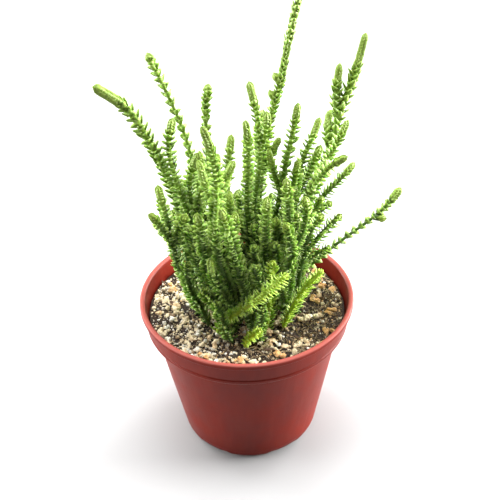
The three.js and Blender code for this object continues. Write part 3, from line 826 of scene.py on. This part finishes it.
BUD_PITCH = 0.40
CLUB_PITCH = 0.62
CLUB_LEAF = 2.9
RING_PITCH = 4.1
RING_DEPTH = 0.3

# Full size of the leaves by habit: spacing of pairs along the stem, length, half width and half
# thickness, how hollow the inner side is, how far it bends up in degrees, how loosely the ranks
# are kept, then radius of the stem's core and of its smooth round tip.
HABITS = {
    "dense": {"pitch": 0.68, "long": 3.6, "wide": 0.70, "thick": 0.32, "hollow": 0.15,
              "bend": 32, "loose": 0.22, "core": 1.15, "club": 2.1},
    "young": {"pitch": 1.20, "long": 3.0, "wide": 1.35, "thick": 0.42, "hollow": 0.35,
              "bend": 30, "loose": 0.12, "core": 1.10, "club": 1.9},
    "open": {"pitch": 1.70, "long": 3.6, "wide": 1.80, "thick": 0.85, "hollow": 0.12,
             "bend": 14, "loose": 0.08, "core": 1.45, "club": 2.3},
    "chain": {"pitch": 1.90, "long": 3.2, "wide": 1.75, "thick": 0.65, "hollow": 0.30,
              "bend": -12, "loose": 0.05, "core": 0.80, "club": 2.4},
}
OUTLINES = {"dense": OVAL, "open": TOOTH, "chain": FUNNEL}


def leaf_size(route, name, places):
    """A measure of the leaves at places along a route. Dense stems go over to young growth."""
    size = HABITS[route["habit"]][name]
    if route["habit"] != "dense":
        return np.full(np.shape(places), float(size))
    youth = eased(route["height_at"](places), BROAD_FROM, BROAD_AT)
    return size + (HABITS["young"][name] - size) * youth


def club_span(route, top, dice):
    """How far below the tip the leaves begin to stand out, and where they all do."""
    if route["habit"] == "open":
        return (7, 11) if route["stem"] else (12, 18)
    if route["habit"] == "chain":
        start = route["club"] or 2.5
        return start, start + 4
    usual = 0.3 + 6.5 * eased(top, 118, 165) * dice.uniform(0.7, 1.2)
    start = route["club"] or usual
    return start, start + 4.5


def rod_radius(below, radius):
    """Radius of a rod with a round end, at a distance below that end."""
    rise = np.clip(below / radius, 0.02, 1)
    return radius * np.sqrt(rise * (2 - rise))


def core_radius(below, full):
    """Radius of the stem's core at a distance below its end."""
    return 0.35 + (full - 0.35) * eased(below, 0, 7)


def freshness(route, below):
    """How fresh the growth is at a distance below the end of a route."""
    return route["fresh"] * (1 - eased(below, 0, FRESH_BELOW))


def height_share(heights):
    """From 0 at the soil to 1 among the tall tips."""
    return np.interp(heights, [SOIL_TOP / MM, 200], [0, 1])


def leaf_levels(length, route, span):
    """Lengths along a route at which its leaf pairs sit, closer together towards the bud."""
    start = BRANCH_LEAVES_FROM if route["stem"] else LEAVES_FROM - STEM_FOOT
    levels = []
    below = BUD_BELOW_END
    while length - below > start:
        levels.append(length - below)
        pitch = BUD_PITCH + (CLUB_PITCH - BUD_PITCH) * eased(below, 0, GROWN_BELOW)
        if route["habit"] == "chain" and below > span[1]:
            levels.append(length - below - RING_DEPTH)
            pitch = RING_PITCH - 1.5 * (1 - eased(below, span[1], span[1] + 14))
        else:
            pitch += (leaf_size(route, "pitch", length - below) - CLUB_PITCH) * eased(below, *span)
        below += float(pitch)
    return np.array(levels)


def leaf_shapes(route, levels, length, span, dice):
    """Size of each leaf, with its midline as distances out and up from its foot on the stem."""
    places = np.repeat(levels, 2)
    count = len(places)
    below = length - places
    opened, grown = eased(below, *span)[:, None], eased(below, 0, GROWN_BELOW)[:, None]
    size = {name: leaf_size(route, name, places)[:, None] for name in HABITS["dense"]}
    full = np.full((count, 1), float(route["reach"]))
    if route["habit"] == "dense":
        youth = eased(route["height_at"](places), YOUNG_FROM, YOUNG_AT)[:, None]
        full += (YOUNG_LEAF_REACH - full) * youth
    foot = 0.75 * core_radius(below, size["core"][:, 0])[:, None]
    share = np.append(LEAF_ALONG, 1.0)[None]

    # In a club the leaves lie on each other, and their backs form a rod with a round end.
    run = np.minimum(CLUB_LEAF, 0.93 * below[:, None])
    hull = rod_radius(below[:, None] - run * share, size["club"]) - 0.7 * size["thick"]
    club_far = foot + (hull - foot) * (1 - (1 - share)**2)
    club_high = run * share - LEAF_SINK

    # An open leaf leaves the core leaning out, and bends evenly along its length.
    long = size["long"] * dice.normal(1, 0.09, (count, 1)) * (0.5 + 0.5 * grown)
    lean = np.arcsin(np.clip((full * dice.normal(1, 0.06, (count, 1)) - foot - 0.2) / long, 0.05, 0.95))
    lean = lean * (0.6 + 0.4 * grown) + np.radians(dice.normal(0, 5, (count, 1)))
    bend = np.radians(size["bend"] + dice.normal(0, 8, (count, 1)))
    lean = lean + bend * (1 - share) / 2
    far = foot + long * share * np.sin(lean)
    high = long * share * np.cos(lean) - LEAF_SINK
    wide = size["wide"] + (CLUB_FILL * size["club"] - size["wide"]) * (1 - opened)
    return {
        "far": club_far + (far - club_far) * opened,
        "high": club_high + (high - club_high) * opened,
        "wide": (0.45 + 0.55 * grown) * wide * dice.normal(1, 0.06, (count, 1)),
        "thick": (0.70 + 0.30 * grown) * size["thick"],
        "hollow": size["hollow"] + (CLUB_HOLLOW - size["hollow"]) * (1 - opened),
        "loose": (0.05 + size["loose"] * opened)[:, 0],
        "opened": opened[:, 0],
        "below": below,
    }


def leaves_on(line, length, route, turn, span, dice):
    """Points, faces and shades of all the leaves of one route."""
    levels = leaf_levels(length[-1], route, span)
    along, side, other = frames_along(line, turn)
    shape = leaf_shapes(route, levels, length[-1], span, dice)
    leaves = 2 * len(levels)
    angle = np.repeat(np.arange(len(levels)) * math.pi / 2, 2) + np.tile([0, math.pi], len(levels))
    angle += dice.normal(0, 1, leaves) * shape["loose"]
    angle += 0.5 * np.sin(np.repeat(levels, 2) / dice.uniform(9, 15) + dice.uniform(0, 6))
    centre = np.repeat(at_places(line, length, levels), 2, 0)
    up = np.repeat(at_places(along, length, levels), 2, 0)
    u = np.repeat(at_places(side, length, levels), 2, 0)
    v = np.repeat(at_places(other, length, levels), 2, 0)
    out = u * np.cos(angle)[:, None] + v * np.sin(angle)[:, None]
    across = np.cross(up, out)

    far, high = shape["far"][..., None], shape["high"][..., None]
    middle = centre[:, None] + out[:, None] * far + up[:, None] * high
    share = np.append(LEAF_ALONG, 1.0)
    rise = np.stack([np.gradient(shape[part], share, axis=1)[:, :-1] for part in ("far", "high")])
    rise = (rise / np.linalg.norm(rise, axis=0))[..., None]
    normal = up[:, None] * rise[0] - out[:, None] * rise[1]
    wide = (shape["wide"] * np.array(OUTLINES[route["habit"]]))[..., None, None]
    thick = (shape["thick"] * LEAF_THICK)[..., None, None]
    hollow = shape["hollow"][..., None, None]
    section_x, section_y = LEAF_SECTION.T[:, None, None, :, None]
    rings = middle[:, :-1, None] + across[:, None, None] * wide * section_x
    rings = rings + normal[:, :, None] * (thick * section_y + hollow * wide * section_x**2)
    ringed = LEAF_RINGS * LEAF_SIDES
    points = np.concatenate([rings.reshape(leaves, ringed, 3), middle[:, [0, -1]]], 1)
    one = closed_rings(LEAF_RINGS, LEAF_SIDES)
    per_leaf = ringed + 2
    faces = (one[None] + np.arange(leaves)[:, None, None] * per_leaf).reshape(-1, 3)
    new = route["new"] * (0.4 + 0.6 * eased(levels, 0, length[-1]))
    shades = {
        "fresh": np.repeat(freshness(route, shape["below"]), per_leaf),
        "toward_tip": np.tile([*np.repeat(LEAF_ALONG, LEAF_SIDES), 0, 1], leaves),
        "edge": np.tile([*np.tile(LEAF_EDGE, LEAF_RINGS), 0, 1], leaves),
        "own_tint": np.repeat(dice.random(leaves), per_leaf),
        "opened": np.repeat(shape["opened"], per_leaf),
        "new": np.repeat(new, 2 * per_leaf),
        "height": np.repeat(height_share(centre[:, 2]), per_leaf),
    }
    return points.reshape(-1, 3), faces, shades


def core_of(line, length, route, turn, span):
    """Points, faces and shades of the core that the leaves sit on, which fills out in a club."""
    along, side, other = frames_along(line, turn)
    angle = np.arange(CORE_SIDES) * 2 * math.pi / CORE_SIDES
    below = length[-1] - length
    radius = core_radius(below, leaf_size(route, "core", length))
    club = CLUB_FILL * rod_radius(below - 0.6, leaf_size(route, "club", length))
    radius = radius + np.maximum(club - radius, 0) * (1 - eased(below, *span))
    offset = np.cos(angle)[None, :, None] * side[:, None] + np.sin(angle)[None, :, None] * other[:, None]
    rings = (line[:, None] + offset * radius[:, None, None]).reshape(-1, 3)
    points = np.vstack([rings, line[0], line[-1] + along[-1] * 0.1])
    values = {"fresh": freshness(route, below), "height": height_share(line[:, 2])}
    shades = {
        name: np.append(np.repeat(value, CORE_SIDES), value[[0, -1]]) for name, value in values.items()
    }
    shades["new"] = np.full(len(points), route["new"])
    shades |= {name: np.zeros(len(points)) for name in ("toward_tip", "edge", "own_tint", "opened")}
    return points, closed_rings(len(line), CORE_SIDES), shades


LEAF_SEED = 100
LEAF_OLD_AND_LOW_SHADE = (0.120, 0.205, 0.030)
LEAF_GREEN = (0.225, 0.350, 0.050)
LEAF_FRESH = (0.200, 0.310, 0.020)
LEAF_HIGH_SHADE = (0.165, 0.265, 0.022)
LEAF_NEW = (0.420, 0.580, 0.045)
LEAF_TIP_AND_HIGHLIGHT = (0.330, 0.480, 0.080)
LEAF_PALE_AND_HIGHLIGHT = (0.460, 0.610, 0.240)
LEAF_BASE_SHADE = (0.065, 0.125, 0.018)


def leaf_skin(place):
    """Waxy succulent skin: old leaves low in the clump darker, partly from painted shade; painted shade
    at the bases of low leaves and over the tall leaves; pale edges and tips that are partly painted
    highlight; and bright yellow-green new growth.
    """
    shade = {
        name: place.node("Attribute", {"attribute_name": name}, {}, "Fac")
        for name in ("fresh", "new", "toward_tip", "edge", "own_tint", "opened", "height")
    }
    blotch = place.noise(700, 2)
    # Low in the clump the leaves go darker: partly older leaves, partly painted shade.
    grown = (shade["height"] * 1.1 + 0.35 * (shade["own_tint"] - 0.5)).between(0.0, 0.60)
    colour = grown.blend(LEAF_OLD_AND_LOW_SHADE, LEAF_GREEN)
    colour = shade["fresh"].blend(colour, LEAF_FRESH)
    # Painted shade: the bases of the leaves low in the clump go dark.
    inner = (1 - shade["toward_tip"].between(0.0, 0.55)) * (1 - shade["height"].between(0.3, 0.7))
    colour = inner.blend(colour, LEAF_BASE_SHADE)
    colour = shade["new"].blend(colour, LEAF_NEW)
    # Painted shade: the tall leaves high up are darkened, and their pale tips and edges are weakened.
    high = shade["height"].between(0.45, 0.85)
    colour = (0.8 * high).blend(colour, LEAF_HIGH_SHADE)
    standing = (0.15 + 0.85 * shade["opened"]) * (1 - 0.6 * high)
    # The leaf tips and edges go paler: partly the leaves' own pale margins, partly a painted highlight.
    tip = shade["toward_tip"].between(0.35, 1.0) * standing
    colour = (0.60 * tip * (0.5 + blotch)).blend(colour, LEAF_TIP_AND_HIGHLIGHT)
    pale = shade["edge"].between(0.45, 1.0) * shade["toward_tip"].between(0.1, 0.8) * standing
    return {
        "Base Color": (0.50 * pale * (0.4 + blotch)).blend(colour, LEAF_PALE_AND_HIGHLIGHT),
        "Roughness": 0.44 + 0.16 * blotch,
        "Normal": place.noise(2600, 2).bump(0.05 * MM, 0.6),
        "Subsurface Weight": 0.22,
        "Subsurface Radius": (0.5, 1.0, 0.15),
        "Subsurface Scale": 1.4 * MM,
        "Specular IOR Level": 0.42,
    }


leaf_finish = new_finish("succulent leaf", leaf_skin)
routes = all_routes()
bend_clear(routes)
add_side_shoots(routes)
for plant in range(len(STEMS)):
    name = f"{plant + 1:02d}"
    dice = np.random.default_rng(LEAF_SEED + plant)
    parts = []
    for i, route in enumerate(r for r in routes if r["plant"] == plant):
        line, length = smooth_curve(route["points"])
        route["height_at"] = lambda place, z=line[:, 2], l=length: np.interp(place, l, z)
        turn = plant * LEAF_TURN + i * BRANCH_TURN
        span = club_span(route, line[-1, 2], dice)
        parts.append(core_of(line, length, route, turn, span))
        parts.append(leaves_on(line, length, route, turn, span, dice))
    starts = np.append(0, np.cumsum([len(part[0]) for part in parts]))
    points = np.concatenate([part[0] for part in parts]) * MM
    faces = np.concatenate([part[1] + start for part, start in zip(parts, starts)])
    shades = {key: np.concatenate([part[2][key] for part in parts]) for key in parts[0][2]}
    leafy = new_piece(f"leafy_stem_{name}", points, faces, leaf_finish, shades=shades)
    settle(leafy, "leaves", f"stem_{name}")

# The grit is loose stone scattered on the bed and pressed in a little: cream and tan pumice, some
# of it in lumps, and white perlite, thickest on the left. Between it lie crumbs of peat, chips of
# bark and pale root fibres, most of them on the right.

GRIT_SEED = 11
GRIT_RADIUS = SOIL_RADIUS - 0.6 * MM
GRAIN_CUTS = 8
TRIES_A_GRAIN = 12
PATCH_SIZE = 8 * MM
LUMP_GRAINS = 7
LUMP_SIZE = (1.1 * MM, 1.1 * MM, 0.5 * MM)
TAN_LUMPS = ((39, 14), (34, 2), (37, -22), (41, -8), (-20, -36), (15, -37), (-4, -40), (-38, 14))
CREAM_LUMPS = ((-31, -11), (-36, -2), (-40, -19), (-29, 5), (27, -13), (11, -29), (26, -29))
CHUNKY = ((0.75, 0.70, 0.55), (1.30, 1.05, 0.95))
FLAT = ((0.80, 0.60, 0.30), (1.40, 1.00, 0.60))
CHIP = ((2.00, 0.50, 0.16), (3.80, 0.95, 0.30))
FIBRE_STEPS, FIBRE_SIDES = 6, 3
PUMICE_CREAM = (0.850, 0.730, 0.500)
PUMICE_TAN = (0.760, 0.440, 0.170)
PUMICE_SHADE = (0.400, 0.290, 0.160)
PERLITE_WHITE = (0.880, 0.850, 0.760)
PERLITE_GREY = (0.560, 0.500, 0.400)
CRUMB_DARK = (0.025, 0.017, 0.010)
CRUMB_BROWN = (0.220, 0.150, 0.080)
BARK_DARK = (0.090, 0.050, 0.028)
BARK_PALE = (0.400, 0.270, 0.150)
FIBRE_PALE = (0.560, 0.450, 0.260)
FIBRE_DARK = (0.160, 0.105, 0.050)


def unit_ball(rounds):
    """Points and faces of a small ball made of triangles, finer with each round of splitting."""
    bpy.ops.mesh.primitive_ico_sphere_add(subdivisions=rounds, radius=1)
    ball = bpy.context.object
    points = np.array([v.co[:] for v in ball.data.vertices])
    faces = np.array([p.vertices[:] for p in ball.data.polygons])
    bpy.data.objects.remove(ball)
    return points, faces


def broken_grains(scatter, rounds, form, tan, dice):
    """Points, faces and tints of grains with broken faces, at places and with radii.

    The form is the least and the most that a grain stretches along each of its own axes.
    """
    places, sizes = scatter
    ball, ball_faces = unit_ball(rounds)
    count = len(places)
    cuts = dice.normal(size=(count, GRAIN_CUTS, 3))
    cuts /= np.linalg.norm(cuts, axis=2)[..., None]
    depth = dice.uniform(0.42, 0.80, (count, GRAIN_CUTS))
    facing = np.einsum("vc,nkc->nvk", ball, cuts)
    radius = np.min(np.where(facing > 0.05, depth[:, None] / np.maximum(facing, 0.05), 9), 2)
    radius = np.minimum(radius, 1.0) * (1.1 + 0.09 * dice.normal(size=radius.shape))
    stretch = dice.uniform(form[0], form[1], (count, 3))
    x, y, z = np.moveaxis(ball[None] * radius[..., None] * stretch[:, None], 2, 0)
    lean = dice.normal(0, 0.35, (count, 1)) * min(1, 2 * form[0][2])
    x, z = x * np.cos(lean) - z * np.sin(lean), x * np.sin(lean) + z * np.cos(lean)
    spin = dice.uniform(0, 2 * math.pi, (count, 1))
    x, y = x * np.cos(spin) - y * np.sin(spin), x * np.sin(spin) + y * np.cos(spin)
    grain = np.stack([x, y, z], -1) * sizes[:, None, None] + places[:, None]
    faces = ball_faces[None] + np.arange(count)[:, None, None] * len(ball)
    tint = np.clip(dice.random(count) + tan + 0.3 * places[:, 0] / GRIT_RADIUS, 0, 1)
    return grain.reshape(-1, 3), faces.reshape(-1, 3), np.repeat(tint, len(ball))


def scattered(count, smallest, largest, lift, dice, lean=0.0):
    """Places and radii of grains strewn over the bed, most of them small.

    They lie in patches, and thicker on the left by the lean.
    """
    tries = TRIES_A_GRAIN * count
    away = GRIT_RADIUS * np.sqrt(dice.random(tries))
    angle = dice.uniform(0, 2 * math.pi, tries)
    x, y = away * np.cos(angle), away * np.sin(angle)
    chance = 0.5 - 0.5 * lean * x / GRIT_RADIUS + 0.7 * abs(lean) * rough(x, y, PATCH_SIZE, 13)
    kept = np.nonzero(dice.random(tries) < chance)[0][:count]
    sizes = smallest + (largest - smallest) * dice.random(len(kept)) ** 2
    inward = np.minimum(1, (GRIT_RADIUS - sizes) / away[kept])
    x, y = x[kept] * inward, y[kept] * inward
    z = soil_height(x, y) + sizes * dice.uniform(lift - 0.3, lift + 0.3, len(kept))
    return np.stack([x, y, z], -1), sizes


def lumps(spots, dice):
    """Places and radii of grains that hold together in lumps, at spots in millimetres."""
    x, y = np.array(spots).T * MM
    places = np.repeat(np.stack([x, y, soil_height(x, y) + 0.9 * MM], -1), LUMP_GRAINS, 0)
    places += dice.normal(0, 1, places.shape) * LUMP_SIZE
    return places, dice.uniform(0.8 * MM, 1.7 * MM, len(places))


def grain_skin(pale, deep, shade):
    """What makes a finish for broken grains: each its own tint, pitted and dusty."""
    def sockets_of(place):
        tint = place.node("Attribute", {"attribute_name": "own_tint"}, {}, "Fac")
        pits = place.noise(1500, 4, 0.7)
        colour = tint.between(0.35, 1.0).blend(pale, deep)
        return {
            "Base Color": (0.8 - 0.8 * pits.between(0.30, 0.55)).blend(colour, shade),
            "Roughness": 0.92,
            "Normal": pits.bump(0.35 * MM),
        }
    return sockets_of


def grit(name, finish, groups):
    """One piece of grit from groups of grains, each with its own fineness."""
    starts = np.append(0, np.cumsum([len(points) for points, _, _ in groups]))
    faces = np.concatenate([faces + start for (_, faces, _), start in zip(groups, starts)])
    points = np.concatenate([points for points, _, _ in groups])
    tints = np.concatenate([tint for _, _, tint in groups])
    settle(new_piece(name, points, faces, finish, False, {"own_tint": tints}), "potting_mix")


def root_fibres(count, dice):
    """Points, faces and tints of thin curved strands that lie on the bed."""
    steps, sides = FIBRE_STEPS, FIBRE_SIDES
    places, _ = scattered(count, 0.2 * MM, 0.2 * MM, 0.5, dice, -0.6)
    count = len(places)
    heading = dice.uniform(0, 2 * math.pi, (count, 1))
    heading = heading + np.cumsum(dice.normal(0, 0.35, (count, steps)), 1)
    stride = dice.uniform(0.3, 1.3, (count, 1)) * MM
    x = places[:, :1] + np.cumsum(stride * np.cos(heading), 1)
    y = places[:, 1:2] + np.cumsum(stride * np.sin(heading), 1)
    shrink = np.minimum(1, (GRIT_RADIUS - 0.5 * MM) / np.hypot(x, y))
    x, y = x * shrink, y * shrink
    z = soil_height(x, y) + (0.9 + 0.5 * np.sin(np.arange(steps) + 6 * dice.random((count, 1)))) * MM
    radius = dice.uniform(0.08, 0.20, (count, 1)) * MM
    turn = np.arange(sides) * 2 * math.pi / sides
    across = radius[..., None] * np.cos(turn)
    rings = np.stack([x[..., None] - across * np.sin(heading)[..., None],
                      y[..., None] + across * np.cos(heading)[..., None],
                      z[..., None] + radius[..., None] * np.sin(turn)], -1)
    ends = np.stack([x, y, z], -1)[:, [0, -1]]
    strands = np.concatenate([rings.reshape(count, steps * sides, 3), ends], 1)
    per_strand = steps * sides + 2
    faces = closed_rings(steps, sides)[None] + np.arange(count)[:, None, None] * per_strand
    return strands.reshape(-1, 3), faces.reshape(-1, 3), np.repeat(dice.random(count), per_strand)


dice = np.random.default_rng(GRIT_SEED)
pumice_finish = new_finish("pumice", grain_skin(PUMICE_CREAM, PUMICE_TAN, PUMICE_SHADE))
grit("pumice", pumice_finish, [
    broken_grains(scattered(46, 1.5 * MM, 2.6 * MM, 0.30, dice, 0.4), 3, CHUNKY, 0.0, dice),
    broken_grains(lumps(TAN_LUMPS, dice), 3, CHUNKY, 0.45, dice),
    broken_grains(lumps(CREAM_LUMPS, dice), 3, CHUNKY, -0.3, dice),
    broken_grains(scattered(560, 0.8 * MM, 1.7 * MM, 0.40, dice, 0.8), 2, CHUNKY, -0.2, dice),
    broken_grains(scattered(1600, 0.3 * MM, 0.8 * MM, 0.6, dice, 0.4), 1, CHUNKY, 0.0, dice),
])
perlite_finish = new_finish("perlite", grain_skin(PERLITE_WHITE, PUMICE_CREAM, PERLITE_GREY))
grit("perlite", perlite_finish, [
    broken_grains(scattered(330, 0.5 * MM, 1.5 * MM, 0.5, dice, 0.8), 2, CHUNKY, -0.1, dice),
    broken_grains(scattered(1500, 0.2 * MM, 0.6 * MM, 0.7, dice, 0.5), 1, CHUNKY, 0.0, dice),
])
crumb_finish = new_finish("peat crumbs", grain_skin(CRUMB_DARK, CRUMB_BROWN, CRUMB_DARK))
grit("peat_crumbs", crumb_finish, [
    broken_grains(scattered(300, 0.6 * MM, 1.5 * MM, 0.3, dice, -0.4), 2, FLAT, 0.0, dice),
    broken_grains(scattered(2600, 0.25 * MM, 0.8 * MM, 0.5, dice, -0.3), 1, FLAT, 0.1, dice),
])
bark_finish = new_finish("bark chips", grain_skin(BARK_DARK, BARK_PALE, BARK_DARK))
grit("bark_chips", bark_finish, [
    broken_grains(scattered(60, 0.7 * MM, 1.6 * MM, 0.5, dice, -0.2), 2, CHIP, 0.0, dice),
])
fibre_finish = new_finish("root fibres", grain_skin(FIBRE_PALE, FIBRE_DARK, FIBRE_DARK))
grit("root_fibres", fibre_finish, [root_fibres(850, dice)])

# The studio is a pale paper floor under soft light that is brightest overhead, with a soft lamp
# above and two on each side, and a camera where the photograph was taken.

FLOOR_SIZE = 6
LAMP_AIM = (0, 0, 0.06)
LOW_LIGHT, HIGH_LIGHT = 0.03, 0.20
CAMERA_PLACE = (0, -0.27391, 0.29988)
CAMERA_AIM = (0.00698126, 0.81732614, -0.57613300)
CAMERA_ROLL = math.radians(-1.73)
CAMERA_LENS = 51.0
CAMERA_SENSOR = 36


def floor_finish(place):
    """Plain pale paper."""
    return {"Base Color": (0.34, 0.34, 0.34), "Roughness": 0.9}


def lamp(name, place, aim, size, watts):
    """A soft square lamp at a place, facing a point."""
    light = bpy.data.lights.new(name, "AREA")
    light.size = size
    light.energy = watts
    stand = bpy.data.objects.new(name, light)
    stand.location = place
    facing = Vector(aim) - Vector(place)
    stand.rotation_euler = facing.to_track_quat("-Z", "Y").to_euler()
    bpy.context.scene.collection.objects.link(stand)


half = FLOOR_SIZE / 2
floor_points = np.array([(-half, -half, 0), (half, -half, 0), (half, half, 0), (-half, half, 0)])
floor = new_piece("floor", floor_points, np.array([[0, 1, 2, 3]]), new_finish("paper", floor_finish))

lamp("right", (0.95, 0.10, 0.32), LAMP_AIM, 0.50, 31)
lamp("right back", (0.75, 0.60, 0.35), LAMP_AIM, 0.50, 19)
lamp("left", (-0.95, 0.00, 0.30), LAMP_AIM, 0.50, 14)
lamp("left back", (-0.75, 0.60, 0.35), LAMP_AIM, 0.50, 14)
lamp("overhead", (-0.05, 0.20, 1.05), (0, 0, 0.10), 0.80, 25)

sky = bpy.data.worlds.new("studio")
sky.use_nodes = True
sky_tree = sky.node_tree
direction = Signal(sky_tree).node("TexCoord", {}, {}, "Generated")
height = direction.node("SeparateXYZ", {}, {0: direction}, "Z")
background = sky_tree.nodes["Background"].inputs
feed(sky_tree, background["Color"], (1.0, 1.0, 1.0))
feed(sky_tree, background["Strength"], LOW_LIGHT + HIGH_LIGHT * height.between(0, 1))
bpy.context.scene.world = sky
bpy.context.scene.view_settings.view_transform = "Standard"

camera_data = bpy.data.cameras.new("camera")
camera_data.lens = CAMERA_LENS
camera_data.sensor_width = CAMERA_SENSOR
camera_data.clip_start = 0.01
camera = bpy.data.objects.new("camera", camera_data)
facing = Vector(CAMERA_AIM).to_track_quat("-Z", "Y").to_matrix()
camera.matrix_world = (
    Matrix.Translation(CAMERA_PLACE) @ facing.to_4x4() @ Matrix.Rotation(CAMERA_ROLL, 4, "Z")
)
bpy.context.scene.collection.objects.link(camera)
bpy.context.scene.camera = camera
